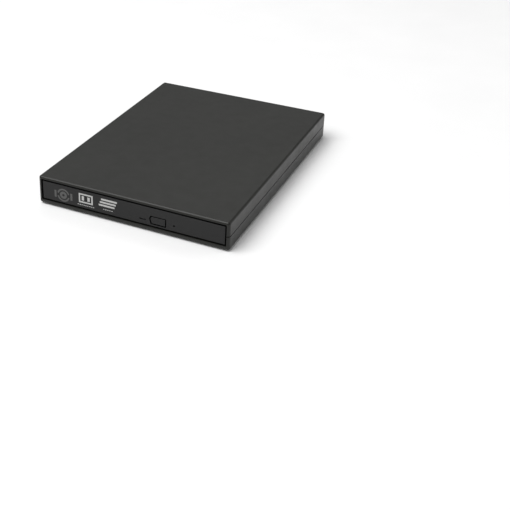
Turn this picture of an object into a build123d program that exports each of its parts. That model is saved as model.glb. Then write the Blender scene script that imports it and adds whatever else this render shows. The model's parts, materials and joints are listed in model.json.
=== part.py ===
from build123d import *
import os

# External optical drive: a two-shell desktop enclosure around a 12.7 mm tray-loading disc drive.
# Millimetres. +X is to the right, +Y to the back, +Z up. The origin lies on the table, under the
# middle of the enclosure. The tray is drawn closed and its latch released.

# ---- enclosure
CASE_W = 134.0
CASE_D = 181.0
CASE_H = 20.0
FOOT_STAND = 0.8
WALL = 1.9
SKIN = 1.8
PLAN_RADIUS = 1.8
TOP_RADIUS = 1.6
BOTTOM_RADIUS = 1.4
SEAM_Z = 10.3
SEAM_GAP = 0.55
TONGUE_DEPTH = 1.3
TONGUE_THICK = 0.9
SLIP = 0.06
BAY_HALF_W = 65.0
LIP_BOTTOM_H = 2.6
LIP_TOP_H = SKIN
LIP_RADIUS = 0.6
BOSS_R = 3.2
CASE_BOSS_Z = 6.2
PILOT_R = 0.95
RIB = 1.2
FOOT_R = 4.5

HALF_W = CASE_W / 2
FRONT_Y = -CASE_D / 2
REAR_Y = CASE_D / 2
SHELL_Z0 = FOOT_STAND
FLOOR_Z = SHELL_Z0 + SKIN
ROOF_Z = CASE_H - SKIN
INNER_HALF_W = HALF_W - WALL
INNER_FRONT_Y = FRONT_Y + WALL
INNER_REAR_Y = REAR_Y - WALL
BAY_Z0 = SHELL_Z0 + LIP_BOTTOM_H
BAY_Z1 = CASE_H - LIP_TOP_H

# ---- disc drive
DRIVE_W = 128.0
DRIVE_Z0 = 3.65
DRIVE_H = 12.7
SHEET = 0.6
BEZEL_RECESS = 0.3
BEZEL_DEPTH = 3.0
BEZEL_PLATE = 1.4
BEZEL_Z0 = 4.35
BEZEL_H = 12.4
DRIVE_REAR_Y = 36.8
PAN_FRONT_Y = -86.4
PAN_TOP_Z = 15.7
COVER_Z0 = 15.85
COVER_SCREW_Z = 14.6
PRESSED_R = 56.0

DRIVE_HALF_W = DRIVE_W / 2
DRIVE_Z1 = DRIVE_Z0 + DRIVE_H
PAN_FLOOR_Z = DRIVE_Z0 + SHEET
BEZEL_FACE_Y = FRONT_Y + BEZEL_RECESS
BEZEL_BACK_Y = BEZEL_FACE_Y + BEZEL_DEPTH
BEZEL_Z1 = BEZEL_Z0 + BEZEL_H

# ---- controls on the bezel
BUTTON_X0 = 14.5
BUTTON_X1 = 24.5
BUTTON_Z0 = 5.8
BUTTON_Z1 = 11.0
BUTTON_TIP = 1.0
BUTTON_TIP_Z = 9.4
BUTTON_GAP = 0.76
STEM_X = 19.5
STEM_Z = 8.0
LED_X0 = 6.4
LED_W = 4.4
LED_H = 1.0
LED_Z = 7.8
PINHOLE_X = 30.2
PINHOLE_Z = 8.2
PINHOLE_R = 0.65

# ---- tray
WELL_R = 60.8
HUB_Y = -26.0
DECK_Z0 = 9.6
WELL_FLOOR_Z = 10.6
RIM_Z = 12.6
DECK_HALF_W = 62.7
DECK_REAR_Y = 27.0
SKIRT_HALF_W = 59.8
SKIRT = 1.2
MECHANISM_REAR_Y = 8.0
TRAY_COVER_Z = 5.0
TRAY_COVER_T = 0.2
TRAY_BOARD_Z0 = 5.5
TRAY_BOARD_Z1 = 6.2
SKIRT_Z0 = 5.3
DECK_FRONT_Y = BEZEL_BACK_Y

# ---- telescoping rails: fixed guide, sliding rail and the tray's flange share one height
RAIL_Z = 7.0
GUIDE_H = 4.2
RAIL_H = 2.0
FLANGE_H = 0.7
RAIL_FIT = 0.1
GUIDE_OUTER_X = 63.3
GUIDE_INNER_X = 60.9
RAIL_OUTER_X = 62.5
RAIL_INNER_X = 60.2
FLANGE_X = 61.2
RAIL_FRONT_Y = -84.0
RAIL_REAR_Y = 34.0

# ---- spindle
TURNTABLE_R = 13.4
DISC_SEAT_Z = 11.2
HUB_R = 7.4
HUB_TOP_Z = 13.2
SHAFT_R = 0.75
ROTOR_R = 11.2
BALL_R = 1.2
BALLS = 3

# ---- pickup traverse, laid out along u (outwards from the hub) and v, then turned about the hub
TRAVERSE_TURN = -45.0
LENS_U = 24.0
ROD_V = 15.5
ROD_Z = 7.0
MAIN_ROD_R = 1.25
SUB_ROD_R = 1.0
ROD_U0 = 9.6
ROD_U1 = 62.5
ROD_FIT = 0.04
SCREW_V = -20.5
SCREW_R = 1.1
SCREW_U0 = 2.2
SCREW_U1 = 58.5
STEPPER_R = 1.8
STEPPER_U0 = -10.0
PLATE_Z0 = 8.75
PLATE_Z1 = 9.3
SLED_TOP_Z = 8.2

# ---- latch
LATCH_X = 42.0
LATCH_Y = -60.0
LATCH_Z0 = 6.0
LATCH_Z1 = 7.2
LATCH_RELEASE = 8.0
STRIKE_X = 46.2
STRIKE_Y = -77.5
STRIKE_R = 1.0

# ---- rear electronics
BOARD_Z0 = 4.2
BOARD_T = 1.2
BOARD_HALF_W = 50.0
BOARD_FRONT_Y = 46.0
BOARD_REAR_Y = 88.2
USB_X = 18.0
JACK_X = 33.0
JACK_BORE_R = 1.9
BOARD_TOP = BOARD_Z0 + BOARD_T
JACK_Z = BOARD_TOP + 3.0
MAIN_BOARD_Z0 = 5.0
MAIN_BOARD_T = 0.8
MAIN_BOARD_TOP = MAIN_BOARD_Z0 + MAIN_BOARD_T

FEET = [(x, y) for x in (-52.0, 52.0) for y in (-76.0, 76.0)]
CASE_SCREWS = [(x, y) for x in (-60.5, 60.5) for y in (48.0, 83.0)]
BOARD_SCREWS = [(x, y) for x in (-45.0, 45.0) for y in (50.0, 80.0)]
DRIVE_SCREWS = [(x, y) for x in (-57.0, 57.0) for y in (-66.0, 20.0)]
MAIN_BOARD_SCREWS = [(-53.0, 31.0), (-53.0, 15.0), (32.0, 31.0)]
COVER_SCREWS_Y = (-60.0, 22.0)
TRAY_SCREWS = [(-54.0, -83.5), (-54.0, 0.0), (10.0, -1.0), (40.0, -83.5)]
GROMMETS_UV = [(-16.0, 14.0), (4.0, 26.0), (59.5, 10.0)]
EJECTOR_X = 50.4
SOLENOID_X = 30.4
SOLENOID_Z = 7.3
FLEX_X0 = 20.0
FLEX_X1 = 38.0
FLEX_FOLD_Y = -58.0
FLEX_T = 0.12


# ---------------------------------------------------------------- shape helpers
def block(x0, x1, y0, y1, z0, z1):
    centre = Pos((x0 + x1) / 2, (y0 + y1) / 2, (z0 + z1) / 2)
    return centre * Box(x1 - x0, y1 - y0, z1 - z0)


def drum(x, y, z0, z1, radius):
    return Pos(x, y, (z0 + z1) / 2) * Cylinder(radius, z1 - z0)


def rod_x(x0, x1, y, z, radius):
    return Pos((x0 + x1) / 2, y, z) * Rot(0, 90, 0) * Cylinder(radius, x1 - x0)


def rod_y(x, y0, y1, z, radius):
    return Pos(x, (y0 + y1) / 2, z) * Rot(90, 0, 0) * Cylinder(radius, y1 - y0)


def ring(x, y, z0, z1, outer, inner):
    return drum(x, y, z0, z1, outer) - drum(x, y, z0 - 1, z1 + 1, inner)


def plate(points, z0, z1):
    outline = make_face(Polyline(*points, close=True))
    return Pos(0, 0, z0) * extrude(outline, z1 - z0)


def rounded_plate(x0, x1, y0, y1, z0, z1, radius):
    solid = block(x0, x1, y0, y1, z0, z1)
    return fillet(solid.edges().filter_by(Axis.Z), radius)


def mirrored(solid):
    return mirror(solid, about=Plane.YZ)


def turned(solid):
    """Takes a solid from traverse coordinates (u along +X, v along +Y, about the hub) to the tray."""
    return Pos(0, HUB_Y, 0) * Rot(0, 0, 180 - TRAVERSE_TURN) * solid


def within_tray(solid):
    """Trims a traverse piece to the space between the tray's skirts."""
    room = block(-57.8, 57.8, DECK_FRONT_Y + 1.4, MECHANISM_REAR_Y - 0.4, 0, CASE_H)
    return solid & room


def save(name, *solids):
    os.makedirs("parts", exist_ok=True)
    pieces = [s for solid in solids for s in solid.solids()]
    shape = pieces[0] if len(pieces) == 1 else Compound(children=pieces)
    shape.label = name
    export_step(shape, f"parts/{name}.step")


# ---------------------------------------------------------------- enclosure
def case_body():
    """The whole closed case as one rounded block."""
    body = block(-HALF_W, HALF_W, FRONT_Y, REAR_Y, SHELL_Z0, CASE_H)
    body = fillet(body.edges().filter_by(Axis.Z), PLAN_RADIUS)
    body = fillet(body.faces().sort_by(Axis.Z)[-1].edges(), TOP_RADIUS)
    return fillet(body.faces().sort_by(Axis.Z)[0].edges(), BOTTOM_RADIUS)


def case_room():
    """The hollow inside the case and the drive's opening in its front."""
    room = block(-INNER_HALF_W, INNER_HALF_W, INNER_FRONT_Y, INNER_REAR_Y, FLOOR_Z, ROOF_Z)
    bay = block(-BAY_HALF_W, BAY_HALF_W, FRONT_Y - 1, INNER_FRONT_Y + 1, BAY_Z0, BAY_Z1)
    bay = fillet(bay.edges().filter_by(Axis.Y), LIP_RADIUS)
    return room + bay


def tongue_ring(extra, z0, z1):
    """A band inside the case wall, where the upper shell's tongue drops into the lower shell."""
    reach = TONGUE_THICK + extra
    band = block(
        -INNER_HALF_W - reach, INNER_HALF_W + reach, INNER_FRONT_Y - reach, INNER_REAR_Y + reach, z0, z1
    )
    return band


def port_cutters():
    """The openings in the rear wall for the data plug and the power plug."""
    usb = block(USB_X - 4.8, USB_X + 4.8, INNER_REAR_Y - 1, REAR_Y + 1, 4.6, 10.2)
    usb = fillet(usb.edges().filter_by(Axis.Y), 0.8)
    jack = rod_y(JACK_X, INNER_REAR_Y - 1, REAR_Y + 1, JACK_Z, 3.1)
    return usb + jack


def tongue_relief():
    """Room beside the ports, where the tongue stops short."""
    return block(USB_X - 5.6, JACK_X + 4.0, INNER_REAR_Y - 2, REAR_Y - WALL + 1.0, 4.6, SEAM_Z + 0.2)


def top_shell():
    shell = case_body() & block(-80, 80, -100, 100, SEAM_Z + SEAM_GAP / 2, 30)
    shell -= case_room()
    tongue = tongue_ring(-SLIP, SEAM_Z - TONGUE_DEPTH, SEAM_Z + 1) & case_body()
    tongue -= case_room()
    tongue -= tongue_relief()
    shell += tongue
    for x, y in CASE_SCREWS:
        shell += drum(x, y, CASE_BOSS_Z + 0.2, ROOF_Z + 0.4, BOSS_R - 0.2)
        shell -= drum(x, y, CASE_BOSS_Z, 14.0, PILOT_R)
    return shell + roof_ribs() - port_cutters()


def roof_ribs():
    """Two long ribs over the drive and one across its front edge."""
    z0 = DRIVE_Z1 + 0.1
    z1 = ROOF_Z + 0.4
    ribs = block(-60.0, 60.0, PAN_FRONT_Y, PAN_FRONT_Y + RIB, z0, z1)
    for x in (-40.0, 40.0):
        ribs += block(x - RIB / 2, x + RIB / 2, -80.0, 30.0, z0, z1)
    return ribs


def bottom_shell():
    shell = case_body() & block(-80, 80, -100, 100, 0, SEAM_Z - SEAM_GAP / 2)
    shell -= case_room()
    shell -= tongue_ring(SLIP, SEAM_Z - TONGUE_DEPTH - 0.1, SEAM_Z + 1)
    for x, y in CASE_SCREWS:
        shell += drum(x, y, FLOOR_Z - 0.2, CASE_BOSS_Z, BOSS_R)
        shell -= drum(x, y, SHELL_Z0 - 0.1, 3.4, 2.5)
        shell -= drum(x, y, 3.0, CASE_BOSS_Z + 1, 1.3)
    for x, y in DRIVE_SCREWS:
        shell += drum(x, y, FLOOR_Z - 0.2, DRIVE_Z0, BOSS_R + 0.2)
        shell -= drum(x, y, SHELL_Z0 - 0.1, FLOOR_Z, 2.4)
        shell -= drum(x, y, 2.0, DRIVE_Z0 + 1, 1.15)
    for x, y in BOARD_SCREWS:
        shell += drum(x, y, FLOOR_Z - 0.2, BOARD_Z0, 2.2)
        shell -= drum(x, y, 2.8, 5.0, 0.8)
    for x, y in FEET:
        shell -= drum(x, y, SHELL_Z0 - 0.1, SHELL_Z0 + 0.6, FOOT_R + 0.1)
    return shell - port_cutters()


def rubber_foot(x, y):
    foot = drum(x, y, 0, SHELL_Z0 + 0.55, FOOT_R)
    return fillet(foot.faces().sort_by(Axis.Z)[0].edges(), 0.3)


def cross_recess(x, y, z, size):
    """A cross-shaped driver recess, to be cut into a screw head that faces down."""
    bars = block(x - size, x + size, y - size / 4, y + size / 4, z - 0.1, z + size * 0.6)
    return bars + block(x - size / 4, x + size / 4, y - size, y + size, z - 0.1, z + size * 0.6)


def screw_up(x, y, head_z, head_h, tip_z, head_r, shank_r):
    """A screw driven upwards, with its head at the bottom."""
    screw = drum(x, y, head_z, head_z + head_h, head_r)
    screw += drum(x, y, head_z + head_h - 0.1, tip_z, shank_r)
    return screw - cross_recess(x, y, head_z, head_r * 0.55)


def screw_down(x, y, head_z, head_h, tip_z, head_r, shank_r):
    """A screw driven downwards, with its head on top."""
    screw = drum(x, y, head_z - head_h, head_z, head_r)
    screw += drum(x, y, tip_z, head_z - head_h + 0.1, shank_r)
    size = head_r * 0.55
    slot = block(x - size, x + size, y - size / 4, y + size / 4, head_z - size * 0.6, head_z + 0.1)
    slot += block(x - size / 4, x + size / 4, y - size, y + size, head_z - size * 0.6, head_z + 0.1)
    return screw - slot


# ---------------------------------------------------------------- rear electronics
def bridge_board():
    board = block(-BOARD_HALF_W, BOARD_HALF_W, BOARD_FRONT_Y, BOARD_REAR_Y, BOARD_Z0, BOARD_TOP)
    for x, y in BOARD_SCREWS:
        board -= drum(x, y, BOARD_Z0 - 1, BOARD_TOP + 1, 1.3)
    return board


def chip(x, y, z, side, height, legs):
    """A square chip body with a row of gull legs on each side."""
    body = block(x - side / 2, x + side / 2, y - side / 2, y + side / 2, z + 0.15, z + height)
    leg_list = []
    pitch = (side - 2.0) / (legs - 1)
    for i in range(legs):
        s = -side / 2 + 1.0 + i * pitch
        leg_list.append(block(x + s - 0.15, x + s + 0.15, y - side / 2 - 1.0, y - side / 2, z, z + 0.4))
        leg_list.append(block(x + s - 0.15, x + s + 0.15, y + side / 2, y + side / 2 + 1.0, z, z + 0.4))
        leg_list.append(block(x - side / 2 - 1.0, x - side / 2, y + s - 0.15, y + s + 0.15, z, z + 0.4))
        leg_list.append(block(x + side / 2, x + side / 2 + 1.0, y + s - 0.15, y + s + 0.15, z, z + 0.4))
    return body, leg_list


def capacitor(x, y, z, radius, height):
    can = drum(x, y, z, z + height, radius)
    return fillet(can.faces().sort_by(Axis.Z)[-1].edges(), 0.4)


def crystal(x, y, z):
    can = block(x - 5.4, x + 5.4, y - 2.2, y + 2.2, z, z + 3.4)
    return fillet(can.edges().filter_by(Axis.Z), 2.1)


def inductor(x, y, z):
    core = block(x - 3.5, x + 3.5, y - 3.5, y + 3.5, z, z + 3.0)
    return fillet(core.edges().filter_by(Axis.Z), 1.0)


def usb_outline(inset):
    half = 3.85 - inset
    low = 2.95 - inset
    base = BOARD_TOP + inset
    top = BOARD_TOP + 3.95 - inset
    points = [(-low, base), (low, base), (half, base + 1.2), (half, top), (-half, top), (-half, base + 1.2)]
    return [(USB_X + x, z) for x, z in points]


def usb_prism(inset, y0, y1):
    corners = [(x, y0, z) for x, z in usb_outline(inset)]
    face = make_face(Polyline(*corners, close=True))
    return extrude(face, amount=y1 - y0, dir=(0, 1, 0))


def usb_shell():
    """The pressed steel sleeve of the five-pin mini data socket."""
    return usb_prism(0, 80.0, 89.4) - usb_prism(0.35, 79.0, 90.0)


def usb_insert():
    """The socket's insulator: a block at the back and the tongue that carries the contacts."""
    insert = usb_prism(0.4, 80.0, 82.2)
    tongue = block(USB_X - 2.2, USB_X + 2.2, 82.0, 88.4, BOARD_TOP + 2.2, BOARD_TOP + 2.9)
    return insert + tongue


def power_jack():
    body = block(JACK_X - 3.3, JACK_X + 3.3, 78.0, INNER_REAR_Y - 0.2, BOARD_TOP, JACK_Z + 3.0)
    body += rod_y(JACK_X, 87.0, REAR_Y - 0.3, JACK_Z, 2.9)
    return body - rod_y(JACK_X, 81.0, REAR_Y + 1, JACK_Z, JACK_BORE_R)


def power_pin():
    return rod_y(JACK_X, 81.0, REAR_Y - 1.6, JACK_Z, 0.6)


def drive_plug():
    """The drive's rear connector: a body with a thin contact tongue."""
    body = block(-34.0, -12.0, 31.0, DRIVE_REAR_Y, MAIN_BOARD_TOP, 9.6)
    return body + block(-33.0, -13.0, DRIVE_REAR_Y - 0.5, 41.0, 7.2, 8.4)


def drive_socket():
    """The matching socket at the front edge of the interface board."""
    body = block(-36.0, -10.0, 37.4, 50.0, BOARD_TOP, 10.4)
    body -= block(-33.2, -12.8, 37.0, 41.6, 7.0, 8.6)
    return body


# ---------------------------------------------------------------- drive housing
def drive_pan():
    pan = block(-DRIVE_HALF_W, DRIVE_HALF_W, PAN_FRONT_Y, DRIVE_REAR_Y, DRIVE_Z0, PAN_TOP_Z)
    pan -= block(
        -DRIVE_HALF_W + SHEET, DRIVE_HALF_W - SHEET, -90.0, DRIVE_REAR_Y - SHEET, PAN_FLOOR_Z, 17.0
    )
    pan -= block(-34.4, -11.6, 30.0, 40.0, MAIN_BOARD_TOP - 0.2, 10.0)
    for x, y in DRIVE_SCREWS:
        pan -= drum(x, y, 3.0, 5.0, 0.95)
    for side in (-1, 1):
        for y in COVER_SCREWS_Y:
            pan -= rod_x(side * DRIVE_HALF_W - 2, side * DRIVE_HALF_W + 2, y, COVER_SCREW_Z, 0.95)
    for y in (-70.0, -10.0):
        pan -= rounded_plate(-30.0, 30.0, y - 2.0, y + 2.0, 3.0, 5.0, 1.9)
    for x, y in MAIN_BOARD_SCREWS:
        pan += drum(x, y, PAN_FLOOR_Z - 0.1, MAIN_BOARD_Z0, 2.0)
        pan -= drum(x, y, 3.9, 5.2, 0.65)
    return pan


def drive_cover():
    cover = block(-DRIVE_HALF_W, DRIVE_HALF_W, PAN_FRONT_Y - 0.4, DRIVE_REAR_Y, COVER_Z0, DRIVE_Z1)
    for side in (-1, 1):
        inner, outer = sorted((side * 62.6, side * 63.3))
        cover += block(inner, outer, -80.0, RAIL_REAR_Y, COVER_SCREW_Z - 1, COVER_Z0 + 0.05)
        for y in COVER_SCREWS_Y:
            cover -= rod_x(inner - 1, outer + 1, y, COVER_SCREW_Z, 0.7)
    return cover - drum(0, HUB_Y, DRIVE_Z1 - 0.15, DRIVE_Z1 + 1, PRESSED_R)


def cover_screw(side, y):
    head = rod_x(side * 64.45 - 0.4, side * 64.45 + 0.4, y, COVER_SCREW_Z, 1.6)
    shank = rod_x(side * 63.0 - 1.2, side * 63.0 + 1.2, y, COVER_SCREW_Z, 0.65)
    return head + shank


def guide():
    """The fixed plastic channel on the pan's right wall."""
    body = block(GUIDE_INNER_X, GUIDE_OUTER_X, RAIL_FRONT_Y, 35.5, RAIL_Z - GUIDE_H / 2, RAIL_Z + GUIDE_H / 2)
    groove = block(
        GUIDE_INNER_X - 1, RAIL_OUTER_X + RAIL_FIT, -90, 34.4,
        RAIL_Z - RAIL_H / 2 - RAIL_FIT, RAIL_Z + RAIL_H / 2 + RAIL_FIT
    )
    return body - groove


def rail():
    """The steel rail between the right guide and the tray."""
    body = block(
        RAIL_INNER_X, RAIL_OUTER_X, RAIL_FRONT_Y, RAIL_REAR_Y, RAIL_Z - RAIL_H / 2, RAIL_Z + RAIL_H / 2
    )
    groove = block(
        RAIL_INNER_X - 1, FLANGE_X + RAIL_FIT, -90, 40,
        RAIL_Z - FLANGE_H / 2 - RAIL_FIT, RAIL_Z + FLANGE_H / 2 + RAIL_FIT
    )
    return body - groove


def strike_pin():
    pin = drum(STRIKE_X, STRIKE_Y, PAN_FLOOR_Z, 7.6, STRIKE_R)
    return fillet(pin.faces().sort_by(Axis.Z)[-1].edges(), 0.25)


def main_board():
    board = block(-56.0, 36.0, 12.0, 36.0, MAIN_BOARD_Z0, MAIN_BOARD_TOP)
    for x, y in MAIN_BOARD_SCREWS:
        board -= drum(x, y, 4, 7, 0.9)
    return board


def ejector_housing():
    body = block(EJECTOR_X - 4.4, EJECTOR_X + 4.4, 28.6, 36.0, PAN_FLOOR_Z, 9.2)
    body -= rod_y(EJECTOR_X, 27.0, 34.5, RAIL_Z, 2.2)
    return body


def ejector_plunger():
    """The sprung pin that pushes the unlatched tray out."""
    pin = rod_y(EJECTOR_X, 27.4, 33.2, RAIL_Z, 0.9)
    pin += rod_y(EJECTOR_X, 27.4, 28.4, RAIL_Z, 1.6)
    return pin


def coil(radius, wire, pitch, turns):
    """A coil spring along +Z with its lowest wire centre at the origin's height."""
    path = Helix(pitch=pitch, height=pitch * turns, radius=radius)
    section = Plane(origin=path @ 0, z_dir=path % 0) * Circle(wire)
    return sweep(section, path=path, is_frenet=True)


def ejector_spring():
    spring = coil(1.45, 0.22, 0.9, 6)
    return Pos(EJECTOR_X, 34.2, RAIL_Z) * Rot(90, 0, 0) * spring


# ---------------------------------------------------------------- tray
def deck_outline(inset):
    """The deck's plan: square at the bezel, with both rear corners cut back."""
    w = DECK_HALF_W - inset
    rear = DECK_REAR_Y - inset
    front = DECK_FRONT_Y + inset
    cut = 12.0
    side = rear - cut
    return [(-w, front), (w, front), (w, side), (w - cut + 2, rear), (cut - 2 - w, rear), (-w, side)]


def window_cutter():
    """The slot in the deck over the pickup's path."""
    wide = rounded_plate(4.0, 56.0, -13.5, 13.5, DECK_Z0 - 1, RIM_Z + 1, 3.0)
    nose = rounded_plate(40.0, 62.4, -5.5, 5.5, DECK_Z0 - 1, WELL_FLOOR_Z + 1, 2.0)
    return turned(wide + nose)


def tray_deck():
    tray = plate(deck_outline(0), DECK_Z0, RIM_Z)
    hollow = plate(deck_outline(1.4), DECK_Z0 - 1, RIM_Z - 1.2)
    tray -= hollow - drum(0, HUB_Y, DECK_Z0 - 2, RIM_Z + 2, WELL_R + 1.2)
    for side in (-1, 1):
        inner, outer = sorted((side * (SKIRT_HALF_W - SKIRT), side * SKIRT_HALF_W))
        tray += block(inner, outer, DECK_FRONT_Y, DECK_REAR_Y - 16, SKIRT_Z0, DECK_Z0 + 0.4)
        inner, outer = sorted((side * (SKIRT_HALF_W - 0.4), side * FLANGE_X))
        tray += block(
            inner, outer, RAIL_FRONT_Y + 1, DECK_REAR_Y - 16, RAIL_Z - FLANGE_H / 2, RAIL_Z + FLANGE_H / 2
        )
    tray += block(-SKIRT_HALF_W, SKIRT_HALF_W, DECK_FRONT_Y, DECK_FRONT_Y + SKIRT, SKIRT_Z0, DECK_Z0 + 0.4)
    tray += block(-57.8, 14.0, MECHANISM_REAR_Y - 1.2, MECHANISM_REAR_Y, SKIRT_Z0, DECK_Z0 + 0.4)
    tray += block(EJECTOR_X - 2.0, EJECTOR_X + 2.0, 23.5, DECK_REAR_Y, 5.6, RIM_Z - 1.0)
    for x, y in TRAY_SCREWS:
        tray += drum(x, y, TRAY_COVER_Z + TRAY_COVER_T, RIM_Z - 1.0, 1.9)
        tray -= drum(x, y, 4, 8.6, 0.65)
    for u, v in GROMMETS_UV:
        tray += turned(drum(u, v, 8.5, DECK_Z0 + 0.4, 1.0))
    tray += drum(LATCH_X, LATCH_Y, 5.5, DECK_Z0 + 0.4, 0.95)
    tray -= drum(0, HUB_Y, WELL_FLOOR_Z, RIM_Z + 1, WELL_R)
    edge = ring(0, HUB_Y, WELL_FLOOR_Z - 0.2, WELL_FLOOR_Z + 0.3, WELL_R + 0.1, 58.4)
    tray += edge & plate(deck_outline(0), DECK_Z0, RIM_Z)
    tray -= drum(0, HUB_Y, DECK_Z0 - 1, RIM_Z, 16.0)
    tray -= window_cutter()
    tray -= bezel_passages()
    return tray


def bezel_passages():
    """Holes in the tray's front wall for the button stem, the light pipe and the release pin."""
    passages = rod_y(STEM_X, BEZEL_BACK_Y - 1, -80.0, STEM_Z, 1.3)
    passages += block(6.0, 11.2, BEZEL_BACK_Y - 1, BEZEL_BACK_Y + 2, LED_Z - 0.6, LED_Z + 0.6)
    return passages + rod_y(PINHOLE_X, BEZEL_BACK_Y - 1, -80.0, PINHOLE_Z, 0.9)


def button_outline(grow):
    """The middle of the gap round the button, moved outwards by grow."""
    left = BUTTON_X0 - grow
    right = BUTTON_X1 + grow
    low = BUTTON_Z0 - grow
    high = BUTTON_Z1 + grow
    return [(left, low), (right, low), (right, high), (left, high), (left - BUTTON_TIP, BUTTON_TIP_Z)]


def button_prism(grow, y0, y1):
    corners = [(x, y0, z) for x, z in button_outline(grow)]
    face = make_face(Polyline(*corners, close=True))
    return extrude(face, amount=y1 - y0, dir=(0, 1, 0))


def bezel():
    front = block(-DRIVE_HALF_W, DRIVE_HALF_W, BEZEL_FACE_Y, BEZEL_BACK_Y, BEZEL_Z0, BEZEL_Z1)
    front = fillet(front.faces().sort_by(Axis.Y)[0].edges(), 0.35)
    hollow = block(
        -DRIVE_HALF_W + 1.2, DRIVE_HALF_W - 1.2, BEZEL_FACE_Y + BEZEL_PLATE, BEZEL_BACK_Y + 1,
        BEZEL_Z0 + 1.2, BEZEL_Z1 - 1.2
    )
    front -= hollow
    front += block(11.0, 26.6, BEZEL_FACE_Y + 1, BEZEL_BACK_Y, BEZEL_Z0 + 0.5, BUTTON_Z1 + 1.2)
    front += block(
        PINHOLE_X - 1.6, PINHOLE_X + 1.6, BEZEL_FACE_Y + 1, BEZEL_BACK_Y, PINHOLE_Z - 1.6, PINHOLE_Z + 1.6
    )
    front -= button_prism(BUTTON_GAP / 2, BEZEL_FACE_Y - 1, BEZEL_BACK_Y + 1)
    front -= block(LED_X0, LED_X0 + LED_W, -100, -80, LED_Z - LED_H / 2, LED_Z + LED_H / 2)
    return front - rod_y(PINHOLE_X, -100, -80, PINHOLE_Z, PINHOLE_R)


def eject_button():
    cap = button_prism(-BUTTON_GAP / 2, BEZEL_FACE_Y, BEZEL_BACK_Y - 0.8)
    cap = fillet(cap.faces().sort_by(Axis.Y)[0].edges(), 0.2)
    return cap + rod_y(STEM_X, BEZEL_BACK_Y - 1.0, -84.4, STEM_Z, 1.0)


def light_pipe():
    z0 = LED_Z - LED_H / 2 + 0.03
    z1 = LED_Z + LED_H / 2 - 0.03
    return block(LED_X0 + 0.03, LED_X0 + LED_W - 0.03, BEZEL_FACE_Y + 0.7, -85.7, z0, z1)


def front_board():
    return block(4.0, 36.0, -85.6, -76.0, TRAY_BOARD_Z0, TRAY_BOARD_Z1)


def status_led():
    return block(7.7, 9.7, -85.4, -84.2, TRAY_BOARD_Z1, 7.9)


def tact_switch():
    body = block(STEM_X - 2.7, STEM_X + 2.7, -83.2, -79.6, TRAY_BOARD_Z1, 9.3)
    return body - rod_y(STEM_X, -84.0, -81.0, STEM_Z, 0.95)


def switch_plunger():
    return rod_y(STEM_X, -84.35, -82.0, STEM_Z, 0.8)


def tray_cover():
    cover = block(-58.4, 44.4, -85.8, 2.0, TRAY_COVER_Z, TRAY_COVER_Z + TRAY_COVER_T)
    for x, y in TRAY_SCREWS:
        cover -= drum(x, y, 4, 6, 0.8)
    return cover


def tray_board():
    return block(14.4, 44.0, -9.0, 7.6, TRAY_BOARD_Z0, TRAY_BOARD_Z1)


def tray_flex_socket():
    """The flex socket that hangs under the tray board's rear edge, open to the front."""
    socket = block(17.5, 40.5, 3.0, 7.0, 4.5, 5.5)
    return socket - block(19.9, 38.1, 2.0, 4.4, 4.66, 4.86)


# ---------------------------------------------------------------- spindle
def spindle_base():
    base = drum(0, HUB_Y, SKIRT_Z0, 5.9, 12.4)
    base += drum(0, HUB_Y, 5.8, 8.6, 2.4)
    return base - drum(0, HUB_Y, 5.6, 9.0, SHAFT_R + 0.03)


def spindle_stator():
    stator = ring(0, HUB_Y, 6.2, 7.9, 4.6, 2.45)
    teeth = 9
    for i in range(teeth):
        tooth = block(4.2, 8.6, -0.7, 0.7, 6.4, 7.7) + block(8.0, 9.2, -2.2, 2.2, 6.2, 7.9)
        stator += Pos(0, HUB_Y, 0) * Rot(0, 0, i * 360 / teeth) * tooth
    return stator


def spindle_rotor():
    """The motor's bell with its shaft."""
    bell = drum(0, HUB_Y, 6.0, 9.4, ROTOR_R)
    bell -= drum(0, HUB_Y, 5.0, 8.8, ROTOR_R - 0.6)
    bell = fillet(bell.faces().sort_by(Axis.Z)[-1].edges(), 0.5)
    return bell + drum(0, HUB_Y, 5.75, 9.2, SHAFT_R)


def turntable():
    """The disc seat and the centring hub."""
    seat = drum(0, HUB_Y, 9.4, DISC_SEAT_Z - 0.3, TURNTABLE_R)
    hub = drum(0, HUB_Y, 10.0, HUB_TOP_Z, HUB_R)
    hub = chamfer(hub.faces().sort_by(Axis.Z)[-1].edges(), 0.7)
    body = seat + hub
    body -= drum(0, HUB_Y, HUB_TOP_Z - 0.5, HUB_TOP_Z + 1, 4.6)
    for i in range(BALLS):
        body -= ball_place(i) * Sphere(BALL_R + 0.05)
    return body


def ball_place(index):
    return Pos(0, HUB_Y, 12.1) * Rot(0, 0, 45 + index * 360 / BALLS) * Pos(HUB_R + 0.12 - BALL_R, 0, 0)


def hub_ball(index):
    return ball_place(index) * Sphere(BALL_R)


def turntable_ring():
    """The rubber ring that carries the disc."""
    return ring(0, HUB_Y, DISC_SEAT_Z - 0.3, DISC_SEAT_Z, TURNTABLE_R, 9.6)


# ---------------------------------------------------------------- pickup traverse
def traverse_plate():
    body = block(-18.0, 63.5, -18.3, 30.0, PLATE_Z0, PLATE_Z1)
    body = fillet(body.edges().filter_by(Axis.Z), 3.0)
    body -= drum(0, 0, 8, 10, 13.9)
    body -= rounded_plate(10.0, 62.9, -8.6, 8.6, 8, 10, 2.0)
    for u, v in GROMMETS_UV:
        body -= drum(u, v, 8, 10, 1.9)
    body = within_tray(turned(body))
    return body


def rod_holder(u, v, radius):
    body = block(u - 1.2, u + 1.2, v - 2.2, v + 2.2, 5.4, PLATE_Z0)
    return turned(body - rod_x(u - 2, u + 2, v, ROD_Z, radius + 0.01))


def main_rod():
    return turned(rod_x(ROD_U0, ROD_U1, -ROD_V, ROD_Z, MAIN_ROD_R))


def sub_rod():
    return turned(rod_x(ROD_U0, ROD_U1 - 1.0, ROD_V, ROD_Z, SUB_ROD_R))


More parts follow.
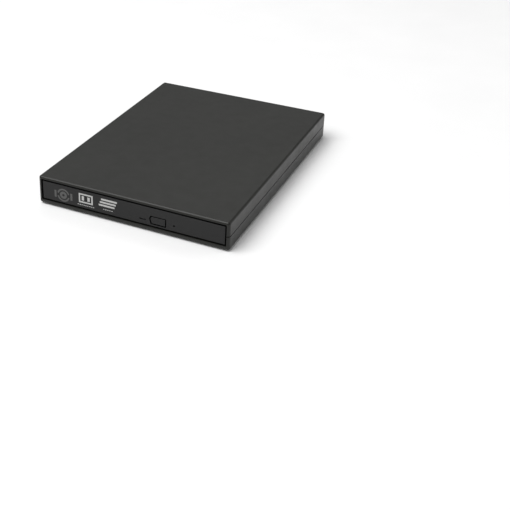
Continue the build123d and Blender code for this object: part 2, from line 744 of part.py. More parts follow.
def lead_screw():
    screw = rod_x(SCREW_U0, SCREW_U1, SCREW_V, ROD_Z, SCREW_R)
    return turned(screw)


def stepper():
    body = rod_x(STEPPER_U0, 2.0, SCREW_V, ROD_Z + 0.1, STEPPER_R)
    body += block(1.2, 2.0, SCREW_V - 2.4, SCREW_V + 2.4, 5.4, 8.7)
    return turned(body - rod_x(-4.0, 3.0, SCREW_V, ROD_Z, 0.6))


def screw_bearing():
    body = block(58.8, 60.4, SCREW_V - 1.6, SCREW_V + 1.6, 5.4, PLATE_Z0)
    return turned(body)


def damper(u, v):
    """A rubber grommet between the traverse plate and the tray."""
    grommet = drum(u, v, PLATE_Z0 - 0.2, PLATE_Z1 + 0.28, 1.85)
    return turned(grommet - drum(u, v, 7, 11, 1.02))


def sled():
    u0 = LENS_U - 10.8
    u1 = LENS_U + 5.6
    body = block(u0, u1, -12.6, 12.6, 5.5, SLED_TOP_Z)
    body = chamfer(body.edges().filter_by(Axis.Z), 1.2)
    body -= drum(0, 0, 5, 10, 12.9)
    body += block(LENS_U - 6.4, LENS_U + 4.4, -7.4, 7.4, SLED_TOP_Z - 0.1, 9.5)
    body -= block(LENS_U - 4.9, LENS_U + 3.9, -5.6, 5.6, 6.4, 10)
    for ear in (u0 + 0.8, LENS_U - 4.0):
        body += block(ear, ear + 5.0, -17.7, -12.4, 5.5, 8.6)
    body -= rod_x(u0 - 1, u1 + 1, -ROD_V, ROD_Z, MAIN_ROD_R + ROD_FIT)
    arm = block(LENS_U - 6, LENS_U - 2, 12.4, 17.2, 5.6, 8.4)
    reach = SUB_ROD_R + ROD_FIT
    arm -= block(LENS_U - 7, LENS_U, ROD_V - 1.3, 18, ROD_Z - reach, ROD_Z + reach)
    body += arm
    feed = block(LENS_U - 4.0, LENS_U, -22.6, -17.5, 5.6, 8.6)
    feed -= rod_x(u0, u1 + 1, SCREW_V, ROD_Z, SCREW_R + 0.08)
    return turned(body + feed)


def actuator_magnet(side):
    v = side * 4.9
    return turned(block(LENS_U - 3.6, LENS_U + 2.6, v - 0.5, v + 0.5, 6.5, 9.3))


def lens_holder():
    """The sprung carrier of the objective lens."""
    body = block(LENS_U - 3.8, LENS_U + 3.2, -3.6, 3.6, 7.0, 9.3)
    body -= drum(LENS_U, 0, 8.6, 11, 2.35)
    body -= drum(LENS_U, 0, 5, 11, 1.8)
    return turned(body)


def objective_lens():
    dome = Pos(LENS_U, 0, 7.6) * Sphere(2.3) & block(LENS_U - 3, LENS_U + 3, -3, 3, 8.65, 10.0)
    return turned(dome & drum(LENS_U, 0, 8, 10.0, 2.2))


# ---------------------------------------------------------------- latch
def released(solid):
    """Turns a latch piece from its engaged place to its released one."""
    pivot = Pos(LATCH_X, LATCH_Y, 0)
    return pivot * Rot(0, 0, -LATCH_RELEASE) * Pos(-LATCH_X, -LATCH_Y, 0) * solid


def latch_lever():
    lever = drum(LATCH_X, LATCH_Y, LATCH_Z0, LATCH_Z1, 2.2)
    lever += plate([(40.6, -60.5), (43.4, -60.5), (44.6, -76.4), (42.8, -76.4)], LATCH_Z0, LATCH_Z1)
    lever += plate([(43.4, -76.4), (46.9, -76.3), (46.6, -75.1), (43.4, -74.4)], LATCH_Z0, LATCH_Z1)
    lever += plate([(41.5, -61.6), (41.5, -58.6), (29.4, -59.6), (29.4, -61.6)], LATCH_Z0, LATCH_Z1)
    lever += block(29.4, 31.6, -61.6, -59.6, LATCH_Z0, 8.6)
    lever -= drum(LATCH_X, LATCH_Y, 5, 9, 0.95 + ROD_FIT)
    return released(lever)


def latch_spring():
    spring = coil(1.45, 0.2, 0.55, 3)
    return Pos(LATCH_X, LATCH_Y, 7.5) * spring


def solenoid_frame():
    frame = block(25.6, 35.2, -57.0, -46.6, 5.5, 9.3)
    frame -= block(26.4, 34.4, -56.2, -47.4, 4, 11)
    return frame - rod_y(SOLENOID_X, -58.0, -55.0, SOLENOID_Z, 1.1)


def solenoid_coil():
    coil_body = rod_y(SOLENOID_X, -56.1, -47.5, SOLENOID_Z, 1.75)
    return coil_body - rod_y(SOLENOID_X, -58.0, -47.9, SOLENOID_Z, 1.05)


def solenoid_plunger():
    return rod_y(SOLENOID_X, -57.5, -49.0, SOLENOID_Z, 0.95)


# ---------------------------------------------------------------- flat cable
def flex_cable():
    """The flat cable that feeds the tray: a lower run, a fold at the front and an upper run."""
    low = 4.32
    high = 4.82
    socket = 6.3
    lower = block(FLEX_X0, FLEX_X1, FLEX_FOLD_Y, 9.0, low, low + FLEX_T)
    fold = block(FLEX_X0, FLEX_X1, FLEX_FOLD_Y - 0.3, FLEX_FOLD_Y + 0.1, low, high)
    upper = block(FLEX_X0, FLEX_X1, FLEX_FOLD_Y, 4.2, high - FLEX_T, high)
    rise = block(FLEX_X0, FLEX_X1, 8.9, 8.9 + FLEX_T, low, socket)
    top = block(FLEX_X0, FLEX_X1, 8.9, 12.8, socket - FLEX_T, socket)
    return lower + fold + upper + rise + top


def main_flex_socket():
    body = block(17.5, 40.5 - 5.0, 12.2, 16.0, MAIN_BOARD_TOP, 6.9)
    return body - block(19.8, 35.5, 12.0, 13.2, 6.1, 6.4)


def build_enclosure():
    save("top_shell", top_shell())
    save("bottom_shell", bottom_shell())
    save("rubber_feet", *[rubber_foot(x, y) for x, y in FEET])
    save("case_screws", *[screw_up(x, y, 1.9, 1.4, 11.5, 2.2, 0.9) for x, y in CASE_SCREWS])
    save("drive_screws", *[screw_up(x, y, 1.7, 0.85, 4.55, 1.9, 0.9) for x, y in DRIVE_SCREWS])


def build_rear_electronics():
    save("bridge_board", bridge_board())
    large = [screw_down(x, y, BOARD_TOP + 0.9, 0.9, 3.0, 1.8, 0.75) for x, y in BOARD_SCREWS]
    small = [screw_down(x, y, MAIN_BOARD_TOP + 0.6, 0.6, 4.3, 1.3, 0.6) for x, y in MAIN_BOARD_SCREWS]
    save("board_screws", *large, *small)
    body, legs = chip(-6.0, 66.0, BOARD_TOP, 12.0, 1.4, 12)
    save("bridge_chip", body, *legs)
    save(
        "board_components",
        crystal(-24.0, 64.0, BOARD_TOP),
        capacitor(22.0, 62.0, BOARD_TOP, 3.1, 6.4),
        capacitor(31.0, 62.0, BOARD_TOP, 3.1, 6.4),
        inductor(34.0, 72.0, BOARD_TOP),
    )
    save("usb_socket_shell", usb_shell())
    save("usb_socket_insert", usb_insert())
    save("power_jack", power_jack())
    save("power_jack_pin", power_pin())
    save("drive_connector_plug", drive_plug())
    save("drive_connector_socket", drive_socket())


def build_drive_housing():
    save("drive_pan", drive_pan())
    save("drive_cover", drive_cover())
    save("cover_screws", *[cover_screw(s, y) for s in (-1, 1) for y in COVER_SCREWS_Y])
    save("right_guide", guide())
    save("left_guide", mirrored(guide()))
    save("right_rail", rail())
    save("left_rail", mirrored(rail()))
    save("latch_strike_pin", strike_pin())
    save("main_board", main_board(), main_flex_socket())
    save("ejector_housing", ejector_housing())
    save("ejector_plunger", ejector_plunger())
    save("ejector_spring", ejector_spring())
    save("flex_cable", flex_cable())


def build_tray():
    save("disc_tray", tray_deck())
    save("bezel", bezel())
    save("eject_button", eject_button())
    save("switch_plunger", switch_plunger())
    save("tact_switch", tact_switch())
    save("status_led", status_led())
    save("light_pipe", light_pipe())
    save("front_board", front_board())
    save("tray_bottom_cover", tray_cover())
    save("tray_screws", *[screw_up(x, y, 4.6, 0.4, 7.4, 1.2, 0.6) for x, y in TRAY_SCREWS])
    save("tray_board", tray_board(), tray_flex_socket())
    save("latch_lever", latch_lever())
    save("latch_spring", latch_spring())
    save("solenoid", solenoid_frame(), solenoid_coil())
    save("solenoid_plunger", solenoid_plunger())


def build_mechanism():
    save("spindle_base", spindle_base())
    save("spindle_stator", spindle_stator())
    save("spindle_rotor", spindle_rotor())
    save("turntable", turntable())
    save("turntable_ring", turntable_ring())
    save("hub_balls", *[hub_ball(i) for i in range(BALLS)])
    save("traverse_plate", traverse_plate())
    save("rod_holders", *[
        rod_holder(u, v, r) for u in (ROD_U0 + 1.2, ROD_U1 - 1.2)
        for v, r in ((-ROD_V, MAIN_ROD_R), (ROD_V, SUB_ROD_R))
    ])
    save("main_guide_rod", main_rod())
    save("sub_guide_rod", sub_rod())
    save("lead_screw", lead_screw())
    save("sled_motor", stepper())
    save("vibration_dampers", *[damper(u, v) for u, v in GROMMETS_UV])
    save("pickup_sled", sled())
    save("actuator_magnets", actuator_magnet(-1), actuator_magnet(1))
    save("lens_holder", lens_holder())
    save("objective_lens", objective_lens())


build_enclosure()
build_rear_electronics()
build_drive_housing()
build_tray()
build_mechanism()
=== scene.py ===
import json
import math

import bmesh
import bpy
from mathutils import Matrix, Vector


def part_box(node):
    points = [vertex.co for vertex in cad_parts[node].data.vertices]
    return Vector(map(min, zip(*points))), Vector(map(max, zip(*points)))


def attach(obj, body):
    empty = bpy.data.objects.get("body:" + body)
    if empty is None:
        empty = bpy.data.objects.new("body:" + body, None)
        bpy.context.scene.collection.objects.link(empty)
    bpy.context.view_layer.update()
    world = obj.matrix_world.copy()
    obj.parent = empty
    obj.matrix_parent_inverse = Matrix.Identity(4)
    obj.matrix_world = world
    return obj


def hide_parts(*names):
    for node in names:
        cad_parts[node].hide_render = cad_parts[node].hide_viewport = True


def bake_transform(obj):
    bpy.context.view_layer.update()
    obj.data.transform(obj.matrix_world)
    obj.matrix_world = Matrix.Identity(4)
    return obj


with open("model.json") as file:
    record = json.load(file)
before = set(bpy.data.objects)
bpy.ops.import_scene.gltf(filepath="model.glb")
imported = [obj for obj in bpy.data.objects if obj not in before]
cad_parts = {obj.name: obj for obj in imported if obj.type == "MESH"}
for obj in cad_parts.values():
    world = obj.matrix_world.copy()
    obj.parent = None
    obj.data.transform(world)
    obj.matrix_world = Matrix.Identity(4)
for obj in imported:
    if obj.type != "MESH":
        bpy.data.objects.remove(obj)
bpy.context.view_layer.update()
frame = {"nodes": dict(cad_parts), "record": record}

MM = 0.001


# ---------------------------------------------------------------- material helpers
class Nodes:
    """A material's node tree, with short calls for the nodes that this file uses."""

    def __init__(self, name):
        self.material = bpy.data.materials.new(name)
        self.material.use_nodes = True
        self.tree = self.material.node_tree
        self.shader = self.tree.nodes["Principled BSDF"]
        self.coords = self.tree.nodes.new("ShaderNodeTexCoord").outputs["Object"]

    def set(self, **values):
        """Uniform values, set straight on the shader's sockets."""
        names = {
            "rough": "Roughness", "metal": "Metallic", "ior": "IOR", "specular": "Specular IOR Level",
            "coat": "Coat Weight", "coat_rough": "Coat Roughness", "clear": "Transmission Weight",
        }
        for key, value in values.items():
            self.shader.inputs[names[key]].default_value = value
        return self

    def link(self, output, socket):
        self.tree.links.new(output, self.shader.inputs[socket])

    def stretched(self, scale):
        """Object coordinates scaled by three factors, in texture units per metre."""
        mapping = self.tree.nodes.new("ShaderNodeMapping")
        mapping.inputs["Scale"].default_value = scale
        self.tree.links.new(self.coords, mapping.inputs["Vector"])
        return mapping.outputs["Vector"]

    def noise(self, size_mm, detail=2.0, rough=0.5, stretch=(1, 1, 1)):
        """Noise with features about size_mm across."""
        node = self.tree.nodes.new("ShaderNodeTexNoise")
        node.inputs["Scale"].default_value = 1.0
        node.inputs["Detail"].default_value = detail
        node.inputs["Roughness"].default_value = rough
        unit = 1000.0 / size_mm
        self.tree.links.new(self.stretched([unit * s for s in stretch]), node.inputs["Vector"])
        return node.outputs["Fac"]

    def cells(self, size_mm):
        """The distance to the middle of cells about size_mm across."""
        node = self.tree.nodes.new("ShaderNodeTexVoronoi")
        node.inputs["Scale"].default_value = 1.0
        unit = 1000.0 / size_mm
        self.tree.links.new(self.stretched((unit, unit, unit)), node.inputs["Vector"])
        return node.outputs["Distance"]

    def ramp(self, value, low, high, start=0.3, end=0.7):
        """Maps value from start..end to low..high."""
        node = self.tree.nodes.new("ShaderNodeMapRange")
        node.inputs["From Min"].default_value = start
        node.inputs["From Max"].default_value = end
        node.inputs["To Min"].default_value = low
        node.inputs["To Max"].default_value = high
        self.tree.links.new(value, node.inputs["Value"])
        return node.outputs["Result"]

    def mix(self, factor, a, b):
        node = self.tree.nodes.new("ShaderNodeMix")
        node.data_type = "RGBA"
        node.inputs["A"].default_value = (*a, 1.0)
        node.inputs["B"].default_value = (*b, 1.0)
        self.tree.links.new(factor, node.inputs["Factor"])
        return node.outputs["Result"]

    def math(self, operation, a, b):
        node = self.tree.nodes.new("ShaderNodeMath")
        node.operation = operation
        for value, socket in ((a, node.inputs[0]), (b, node.inputs[1])):
            if isinstance(value, (int, float)):
                socket.default_value = value
            else:
                self.tree.links.new(value, socket)
        return node.outputs["Value"]

    def bump(self, height, depth_mm):
        node = self.tree.nodes.new("ShaderNodeBump")
        node.inputs["Strength"].default_value = 1.0
        node.inputs["Distance"].default_value = depth_mm * MM
        self.tree.links.new(height, node.inputs["Height"])
        self.link(node.outputs["Normal"], "Normal")


def moulded_plastic(name, color, rough, grain_mm, grain_depth_mm, shade=0.12, specular=0.5):
    """Moulded plastic with an eroded mould's grain, and slow changes of shade and gloss."""
    m = Nodes(name).set(ior=1.5, specular=specular)
    slow = m.noise(38.0, 3.0)
    light = [c * (1 + shade) for c in color]
    dark = [c * (1 - shade) for c in color]
    m.link(m.mix(m.ramp(slow, 0.0, 1.0), dark, light), "Base Color")
    fine = m.noise(grain_mm, 3.0, 0.6)
    blotch = m.ramp(m.noise(9.0, 4.0), rough - 0.035, rough + 0.035)
    m.link(m.math("ADD", blotch, m.ramp(fine, -0.04, 0.04)), "Roughness")
    pits = m.math("ADD", fine, m.math("MULTIPLY", m.cells(grain_mm * 1.6), 0.6))
    m.bump(pits, grain_depth_mm)
    return m.material


def brushed_metal(name, color, rough, along, depth_mm=0.004):
    """Metal with fine lines along one axis: 0 is X, 1 is Y, 2 is Z."""
    m = Nodes(name).set(metal=1.0)
    stretch = [1.0, 1.0, 1.0]
    stretch[along] = 0.02
    lines = m.noise(0.35, 3.0, 0.6, stretch)
    cloud = m.noise(14.0, 4.0)
    light = [min(1.0, c * 1.1) for c in color]
    dark = [c * 0.88 for c in color]
    m.link(m.mix(m.ramp(cloud, 0.0, 1.0), dark, light), "Base Color")
    gloss = m.ramp(cloud, -0.03, 0.03)
    m.link(m.math("ADD", m.ramp(lines, rough - 0.06, rough + 0.06), gloss), "Roughness")
    m.bump(lines, depth_mm)
    return m.material


def spangled_steel(name, color, rough):
    """Zinc-coated sheet, with its faint crystal pattern."""
    m = Nodes(name).set(metal=1.0)
    crystals = m.cells(2.4)
    fine = m.noise(0.6, 4.0, 0.6)
    light = [min(1.0, c * 1.05) for c in color]
    dark = [c * 0.93 for c in color]
    m.link(m.mix(m.ramp(crystals, 0.0, 1.0, 0.1, 0.7), dark, light), "Base Color")
    grain = m.ramp(fine, -0.04, 0.04)
    m.link(m.math("ADD", m.ramp(crystals, rough - 0.03, rough + 0.03, 0.1, 0.7), grain), "Roughness")
    m.bump(fine, 0.006)
    return m.material


def cast_metal(name, color, rough):
    m = Nodes(name).set(metal=1.0)
    grain = m.noise(0.45, 4.0, 0.65)
    light = [min(1.0, c * 1.15) for c in color]
    dark = [c * 0.8 for c in color]
    m.link(m.mix(m.ramp(m.noise(6.0, 3.0), 0.0, 1.0), dark, light), "Base Color")
    m.link(m.ramp(grain, rough - 0.08, rough + 0.08), "Roughness")
    m.bump(grain, 0.02)
    return m.material


def soft_rubber(name, color):
    m = Nodes(name).set(ior=1.45)
    grain = m.noise(0.5, 4.0, 0.65)
    light = [c * 1.3 for c in color]
    m.link(m.mix(m.ramp(m.noise(4.0, 3.0), 0.0, 1.0), color, light), "Base Color")
    m.link(m.ramp(grain, 0.72, 0.88), "Roughness")
    m.bump(grain, 0.02)
    return m.material


def circuit_board(name, mask, copper):
    """Green mask over a pattern of copper tracks."""
    m = Nodes(name).set(ior=1.5, coat=0.3, coat_rough=0.15)
    tracks = m.tree.nodes.new("ShaderNodeTexBrick")
    tracks.offset = 0.5
    tracks.inputs["Scale"].default_value = 1.0
    tracks.inputs["Mortar Size"].default_value = 0.035
    tracks.inputs["Color1"].default_value = (0, 0, 0, 1)
    tracks.inputs["Color2"].default_value = (0, 0, 0, 1)
    tracks.inputs["Mortar"].default_value = (1, 1, 1, 1)
    m.tree.links.new(m.stretched((200.0, 200.0, 200.0)), tracks.inputs["Vector"])
    spread = m.ramp(m.noise(7.0, 2.0), 0.0, 1.0, 0.40, 0.46)
    factor = m.math("MULTIPLY", tracks.outputs["Fac"], spread)
    m.link(m.mix(factor, mask, copper), "Base Color")
    m.link(m.ramp(m.noise(2.0, 3.0), 0.26, 0.4), "Roughness")
    m.bump(factor, 0.03)
    return m.material


def wound_wire(name, color):
    """Varnished copper turns."""
    m = Nodes(name).set(metal=1.0, coat=0.4, coat_rough=0.2)
    wave = m.tree.nodes.new("ShaderNodeTexWave")
    wave.bands_direction = "Z"
    wave.inputs["Scale"].default_value = 1.0
    wave.inputs["Distortion"].default_value = 0.6
    m.tree.links.new(m.stretched((1200.0, 1200.0, 1200.0)), wave.inputs["Vector"])
    light = [min(1.0, c * 1.25) for c in color]
    dark = [c * 0.6 for c in color]
    m.link(m.mix(wave.outputs["Fac"], dark, light), "Base Color")
    m.link(m.ramp(m.noise(1.0, 2.0), 0.25, 0.42), "Roughness")
    m.bump(wave.outputs["Fac"], 0.04)
    return m.material


def clear_plastic(name, color):
    m = Nodes(name).set(ior=1.49, clear=0.75)
    m.link(m.mix(m.ramp(m.noise(1.5, 2.0), 0.0, 1.0), [c * 0.9 for c in color], color), "Base Color")
    m.link(m.ramp(m.noise(0.6, 3.0), 0.12, 0.28), "Roughness")
    return m.material


def coated_lens(name):
    """A clear lens with a blue-violet coating."""
    m = Nodes(name).set(ior=1.52, clear=0.7, coat=1.0, coat_rough=0.02, rough=0.04)
    facing = m.tree.nodes.new("ShaderNodeLayerWeight")
    facing.inputs["Blend"].default_value = 0.45
    m.link(m.mix(facing.outputs["Facing"], (0.25, 0.32, 0.75), (0.75, 0.5, 0.9)), "Base Color")
    return m.material


def printed_ink(name, color):
    """Pad-printed ink: a little uneven, and matt."""
    m = Nodes(name).set(ior=1.45)
    wear = m.noise(0.5, 4.0, 0.6)
    m.link(m.mix(m.ramp(wear, 0.0, 1.0), [c * 0.82 for c in color], color), "Base Color")
    m.link(m.ramp(wear, 0.5, 0.65), "Roughness")
    m.bump(wear, 0.005)
    return m.material


def ribbon_film(name):
    """Clear film over tinned conductors that run along Y."""
    m = Nodes(name).set(ior=1.5, coat=0.5, coat_rough=0.12)
    wave = m.tree.nodes.new("ShaderNodeTexWave")
    wave.bands_direction = "X"
    wave.inputs["Scale"].default_value = 1.0
    wave.inputs["Distortion"].default_value = 0.0
    m.tree.links.new(m.stretched((314.0, 0.0, 0.0)), wave.inputs["Vector"])
    stripe = m.ramp(wave.outputs["Fac"], 0.0, 1.0, 0.4, 0.6)
    m.link(m.mix(stripe, (0.62, 0.6, 0.55), (0.8, 0.8, 0.82)), "Base Color")
    m.link(m.ramp(stripe, 0.45, 0.3, 0.0, 1.0), "Roughness")
    m.bump(stripe, 0.02)
    return m.material


CASE_BLACK = (0.0095, 0.0098, 0.0080)
BEZEL_BLACK = (0.0120, 0.0120, 0.0120)
TRAY_BLACK = (0.016, 0.016, 0.017)
DEEP_BLACK = (0.022, 0.022, 0.023)
ACETAL = (0.72, 0.71, 0.67)
STEEL = (0.56, 0.56, 0.57)
DARK_STEEL = (0.2, 0.2, 0.21)

MATERIALS = {
    "case_plastic": moulded_plastic("case_plastic", CASE_BLACK, 0.38, 0.30, 0.005, specular=0.33),
    "bezel_plastic": moulded_plastic("bezel_plastic", BEZEL_BLACK, 0.40, 0.24, 0.005, specular=0.25),
    "tray_plastic": moulded_plastic("tray_plastic", TRAY_BLACK, 0.38, 0.22, 0.012),
    "guide_plastic": moulded_plastic("guide_plastic", ACETAL, 0.4, 0.4, 0.008, 0.06),
    "sheet_steel": spangled_steel("sheet_steel", STEEL, 0.34),
    "ground_steel": brushed_metal("ground_steel", (0.7, 0.7, 0.72), 0.16, 1, 0.001),
    "screw_steel": brushed_metal("screw_steel", DARK_STEEL, 0.36, 0),
    "soft_rubber": soft_rubber("soft_rubber", (0.025, 0.025, 0.026)),
    "green_board": circuit_board("green_board", (0.012, 0.105, 0.045), (0.05, 0.26, 0.1)),
    "chip_epoxy": moulded_plastic("chip_epoxy", DEEP_BLACK, 0.55, 0.15, 0.012),
    "component_metal": brushed_metal("component_metal", (0.66, 0.66, 0.68), 0.3, 2),
    "connector_plastic": moulded_plastic("connector_plastic", DEEP_BLACK, 0.48, 0.2, 0.01),
    "connector_gold": brushed_metal("connector_gold", (0.83, 0.62, 0.25), 0.2, 1),
    "copper_coil": wound_wire("copper_coil", (0.62, 0.26, 0.1)),
    "sled_metal": cast_metal("sled_metal", (0.3, 0.3, 0.31), 0.42),
    "magnet_metal": brushed_metal("magnet_metal", (0.5, 0.5, 0.52), 0.25, 2),
    "clear_plastic": clear_plastic("clear_plastic", (0.10, 0.11, 0.11)),
    "lens_glass": coated_lens("lens_glass"),
    "lens_plastic": moulded_plastic("lens_plastic", (0.03, 0.03, 0.04), 0.4, 0.15, 0.006),
    "hub_plastic": moulded_plastic("hub_plastic", (0.05, 0.05, 0.052), 0.34, 0.2, 0.008),
    "flex_film": ribbon_film("flex_film"),
}
INK_WHITE = printed_ink("ink_white", (0.5, 0.5, 0.49))
INK_GREY = printed_ink("ink_grey", (0.085, 0.085, 0.083))


def dress_frame():
    """Gives every CAD node the full material of its slot."""
    slots = {part["node"]: part["material_slot"] for part in frame["record"]["subparts"]}
    for node, obj in frame["nodes"].items():
        obj.data.materials.clear()
        obj.data.materials.append(MATERIALS[slots[node]])


dress_frame()


# ---------------------------------------------------------------- marks on the bezel
def node_box(node):
    low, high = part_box(node)
    return Vector(low), Vector(high)


def flat_piece(name, polygons, material, body, thick_mm=0.03):
    """A thin print made of closed outlines in the XZ plane, standing on the bezel's face."""
    bezel_low, _ = node_box("bezel")
    mesh = bmesh.new()
    for points in polygons:
        back = [mesh.verts.new((x, bezel_low.y, z)) for x, z in points]
        front = [mesh.verts.new((x, bezel_low.y - thick_mm * MM, z)) for x, z in points]
        mesh.faces.new(front)
        mesh.faces.new(back[::-1])
        count = len(points)
        for i in range(count):
            j = (i + 1) % count
            mesh.faces.new((front[j], front[i], back[i], back[j]))
    bmesh.ops.recalc_face_normals(mesh, faces=mesh.faces)
    data = bpy.data.meshes.new(name)
    mesh.to_mesh(data)
    mesh.free()
    data.materials.append(material)
    piece = bpy.data.objects.new(name, data)
    bpy.context.scene.collection.objects.link(piece)
    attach(piece, body)


def rectangle(x, z, w, h):
    return [(x - w / 2, z - h / 2), (x + w / 2, z - h / 2), (x + w / 2, z + h / 2), (x - w / 2, z + h / 2)]


def arc_band(x, z, outer, inner, start=0.0, end=360.0, steps=40):
    """Quads along an arc between two radii, as separate outlines."""
    quads = []
    for i in range(steps):
        a = math.radians(start + (end - start) * i / steps)
        b = math.radians(start + (end - start) * (i + 1) / steps)
        quads.append([
            (x + outer * math.cos(a), z + outer * math.sin(a)),
            (x + outer * math.cos(b), z + outer * math.sin(b)),
            (x + inner * math.cos(b), z + inner * math.sin(b)),
            (x + inner * math.cos(a), z + inner * math.sin(a)),
        ])
    return quads


def dash_row(x, z, width, count, h):
    """Short dashes in place of a line of small print."""
    pitch = width / count
    start = x - width / 2 + pitch / 2
    return [rectangle(start + i * pitch, z, pitch * 0.62, h) for i in range(count)]


def bezel_marks():
    low, _ = node_box("bezel")
    left = low.x
    base = low.z
    ring_x = left + 15.4 * MM
    ring_z = base + 5.65 * MM
    rings = arc_band(ring_x, ring_z, 4.6 * MM, 3.5 * MM, 15, 165)
    rings += arc_band(ring_x, ring_z, 4.6 * MM, 3.5 * MM, 195, 345)
    rings += arc_band(ring_x, ring_z, 2.6 * MM, 0.9 * MM)
    rings += [rectangle(ring_x + s * 5.9 * MM, ring_z, 1.5 * MM, 5.0 * MM) for s in (-1, 1)]
    flat_piece("mark_rings", rings, INK_GREY, "tray")

    box_x = left + 32.0 * MM
    box_z = base + 7.05 * MM
    width, height, line = 10.2 * MM, 6.6 * MM, 1.0 * MM
    outline = [rectangle(box_x, box_z + s * (height - line) / 2, width, line) for s in (-1, 1)]
    outline += [rectangle(box_x + s * (width - line) / 2, box_z, line, height - 2 * line) for s in (-1, 1)]
    outline += [rectangle(box_x + s * 2.1 * MM, box_z, 1.7 * MM, 3.0 * MM) for s in (-1, 1)]
    outline += dash_row(box_x, base + 2.2 * MM, 12.6 * MM, 9, 0.5 * MM)
    flat_piece("mark_frame", outline, INK_WHITE, "tray")

    bar_x = left + 48.0 * MM
    bar_z = base + 7.7 * MM
    bars = [rectangle(bar_x + s * 0.9 * MM, bar_z + s * 2.1 * MM, 11.4 * MM, 1.2 * MM) for s in (-1, 0, 1)]
    bars += dash_row(bar_x, base + 2.95 * MM, 7.4 * MM, 5, 0.5 * MM)
    flat_piece("mark_bars", bars, INK_WHITE, "tray")


bezel_marks()


# ---------------------------------------------------------------- springs, thread and flat cable
def mesh_object(name, points, faces, material, slot):
    """A mesh in the frame's own coordinates."""
    data = bpy.data.meshes.new(name)
    data.from_pydata(points, [], faces)
    data.validate()
    data.materials.append(material)
    piece = bpy.data.objects.new(name, data)
    bpy.context.scene.collection.objects.link(piece)
    return piece


def outward(piece):
    """Turns every face of a closed mesh outwards."""
    mesh = bmesh.new()
    mesh.from_mesh(piece.data)
    bmesh.ops.recalc_face_normals(mesh, faces=mesh.faces)
    mesh.to_mesh(piece.data)
    mesh.free()


def loft(rings):
    """Points and faces of a closed body through rings of equally many points."""
    count = len(rings[0])
    points = [p for ring in rings for p in ring]
    faces = []
    for i in range(len(rings) - 1):
        for j in range(count):
            k = (j + 1) % count
            faces.append((i * count + j, i * count + k, (i + 1) * count + k, (i + 1) * count + j))
    last = (len(rings) - 1) * count
    faces.append(tuple(range(count))[::-1])
    faces.append(tuple(range(last, last + count)))
    return points, faces


def coil_rings(base, axis, radius, wire, pitch, turns, steps=28, sides=10):
    """The sections of a round wire wound about an axis."""
    axis = Vector(axis).normalized()
    across = axis.orthogonal().normalized()
    third = axis.cross(across)
    rings = []
    for i in range(int(turns * steps) + 1):
        angle = math.tau * i / steps
        radial = across * math.cos(angle) + third * math.sin(angle)
        centre = Vector(base) + axis * (pitch * i / steps) + radial * radius
        ring = []
        for j in range(sides):
            turn = math.tau * j / sides
            ring.append(centre + (radial * math.cos(turn) + axis * math.sin(turn)) * wire)
        rings.append(ring)
    return rings


def ejector_spring():
    """The ejector's spring, a coil of round wire along its CAD node's length."""
    low, high = node_box("ejector_spring")
    x = (low.x + high.x) / 2
    z = (low.z + high.z) / 2
    wire = 0.22 * MM
    turns = 6
    length = high.y - low.y - 2 * wire
    rings = coil_rings((x, high.y - wire, z), (0, -1, 0), 1.45 * MM, wire, length / turns, turns)
    piece = mesh_object("ejector_coil", *loft(rings), MATERIALS["ground_steel"], "ground_steel")
    outward(piece)
    piece.data.shade_smooth()
    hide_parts("ejector_spring")
    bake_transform(piece)


HUB = Vector((0.0, -0.026, 0.0))
OUTWARDS = Vector((-math.sqrt(0.5), -math.sqrt(0.5), 0.0))
ACROSS = Vector((math.sqrt(0.5), -math.sqrt(0.5), 0.0))
SCREW_LEAD = 3.0 * MM
SCREW_V = -20.5 * MM
SCREW_Z = 7.0 * MM


def screw_thread():
    """The feed screw with its two-start thread."""
    crest, root = 1.1 * MM, 0.82 * MM
    first, last = 2.2 * MM, 58.5 * MM
    plain = 3.0 * MM
    start = HUB + ACROSS * SCREW_V + Vector((0, 0, SCREW_Z))
    steps, sides = 420, 24
    rings = []
    for i in range(steps + 1):
        u = first + (last - first) * i / steps
        cut = min(1.0, max(0.0, (u - first - plain) / MM)) * min(1.0, max(0.0, (last - plain - u) / MM))
        ring = []
        for j in range(sides):
            turn = math.tau * j / sides
            wave = 0.5 + 0.5 * math.cos(2 * (turn - math.tau * u / SCREW_LEAD))
            depth = (crest - root) * cut * (1 - wave ** 0.6)
            side = ACROSS * math.cos(turn) + Vector((0, 0, math.sin(turn)))
            ring.append(start + OUTWARDS * u + side * (crest - depth))
        rings.append(ring)
    piece = mesh_object("feed_thread", *loft(rings), MATERIALS["ground_steel"], "ground_steel")
    outward(piece)
    piece.data.shade_smooth()
    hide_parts("lead_screw")
    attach(piece, "feed_screw")


def ribbon(name, path, x0, x1, thickness):
    """A flat cable along a path of (y, z) points."""
    rings = []
    for i, (y, z) in enumerate(path):
        before = Vector(path[max(0, i - 1)])
        after = Vector(path[min(len(path) - 1, i + 1)])
        along = (after - before).normalized()
        side = Vector((-along.y, along.x)) * thickness / 2
        rings.append([
            Vector((x0, y + side.x, z + side.y)), Vector((x1, y + side.x, z + side.y)),
            Vector((x1, y - side.x, z - side.y)), Vector((x0, y - side.x, z - side.y)),
        ])
    piece = mesh_object(name, *loft(rings), MATERIALS["flex_film"], "flex_film")
    outward(piece)
    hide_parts("flex_cable")
    return piece


def straight(y0, z0, y1, z1, steps):
    return [(y0 + (y1 - y0) * i / steps, z0 + (z1 - z0) * i / steps) for i in range(steps + 1)]


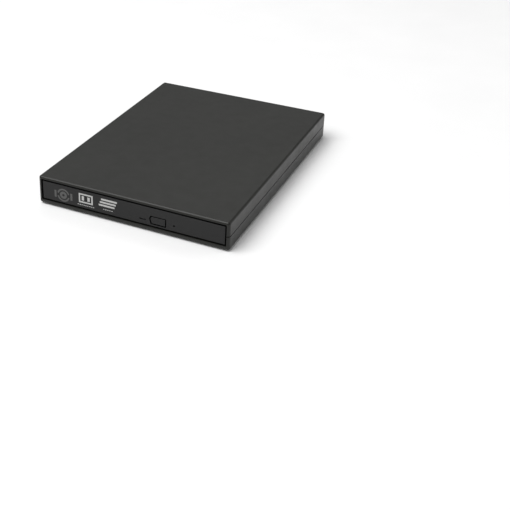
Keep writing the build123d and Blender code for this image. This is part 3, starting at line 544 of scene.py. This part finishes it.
def flat_cable():
    """A lower run in the housing, and an upper run above it that reaches to the tray's end."""
    low, high = node_box("flex_cable")
    thickness = 0.12 * MM
    floor_z = low.z + thickness / 2
    upper_z = low.z + 0.44 * MM
    fold_y = -58.0 * MM
    rise_y = 8.96 * MM
    tray_end_y = 4.2 * MM
    socket_z = high.z - thickness / 2
    lower = straight(fold_y, floor_z, rise_y - 0.5 * MM, floor_z, 24)
    lower += straight(rise_y, floor_z + 0.5 * MM, rise_y, socket_z - 0.4 * MM, 4)
    lower += straight(rise_y + 0.4 * MM, socket_z, high.y, socket_z, 4)
    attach(ribbon("flex_lower", lower, low.x, high.x, thickness), "enclosure")
    upper = straight(fold_y, upper_z, tray_end_y, upper_z, 60)
    piece = ribbon("flex_upper", upper, low.x, high.x, thickness)
    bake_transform(piece)


ejector_spring()
screw_thread()
flat_cable()


# ---------------------------------------------------------------- camera, floor and lights
def look_along(position, forward, right):
    """A matrix at position that looks along forward, with right to the picture's right."""
    z_axis = -forward.normalized()
    x_axis = (right - right.dot(z_axis) * z_axis).normalized()
    y_axis = z_axis.cross(x_axis)
    rotation = Matrix((x_axis, y_axis, z_axis)).transposed().to_4x4()
    return Matrix.Translation(position) @ rotation


CAMERA_LENS = 67.31
CAMERA_SHIFT = (0.1540, -0.2205)
CAMERA_PLACE = Vector((0.2478, -0.5418, 0.3059))
CAMERA_FORWARD = Vector((-0.3897, 0.8126, -0.4335))
CAMERA_RIGHT = Vector((0.8994, 0.4370, 0.0105))
WORLD_STRENGTH = 0.27


def add_camera():
    data = bpy.data.cameras.new("camera")
    data.lens = CAMERA_LENS
    data.sensor_width = 36.0
    data.shift_x, data.shift_y = CAMERA_SHIFT
    camera = bpy.data.objects.new("camera", data)
    bpy.context.scene.collection.objects.link(camera)
    camera.matrix_world = look_along(CAMERA_PLACE, CAMERA_FORWARD, CAMERA_RIGHT)
    bpy.context.scene.camera = camera


def add_floor():
    bpy.ops.mesh.primitive_plane_add(size=8.0, location=(0, 0, -0.0002))
    floor = bpy.context.object
    floor.name = "floor"
    m = Nodes("floor_paper").set(rough=0.9)
    shade = m.ramp(m.noise(60.0, 2.0), 0.0, 1.0)
    m.link(m.mix(shade, (0.86, 0.86, 0.86), (0.88, 0.88, 0.88)), "Base Color")
    floor.data.materials.append(m.material)


def area_light(name, position, size, power):
    """A white card that faces the middle of the scene."""
    data = bpy.data.lights.new(name, "AREA")
    data.shape = "RECTANGLE"
    data.size = size[0]
    data.size_y = size[1]
    data.energy = power
    light = bpy.data.objects.new(name, data)
    bpy.context.scene.collection.objects.link(light)
    light.location = position
    light.rotation_euler = (-Vector(position)).to_track_quat("-Z", "Y").to_euler()


def add_lights():
    world = bpy.data.worlds.new("studio")
    world.use_nodes = True
    world.node_tree.nodes["Background"].inputs["Color"].default_value = (1, 1, 1, 1)
    world.node_tree.nodes["Background"].inputs["Strength"].default_value = WORLD_STRENGTH
    bpy.context.scene.world = world
    area_light("key_card", (-0.75, -0.95, 2.2), (2.2, 2.2), 76.0)
    area_light("back_card", (-0.95, 1.85, 1.75), (2.2, 0.9), 6.6)
    area_light("right_card", (1.9, 1.2, 1.2), (1.2, 1.2), 8.0)


add_camera()
add_floor()
add_lights()

bpy.context.scene.view_settings.view_transform = "Standard"
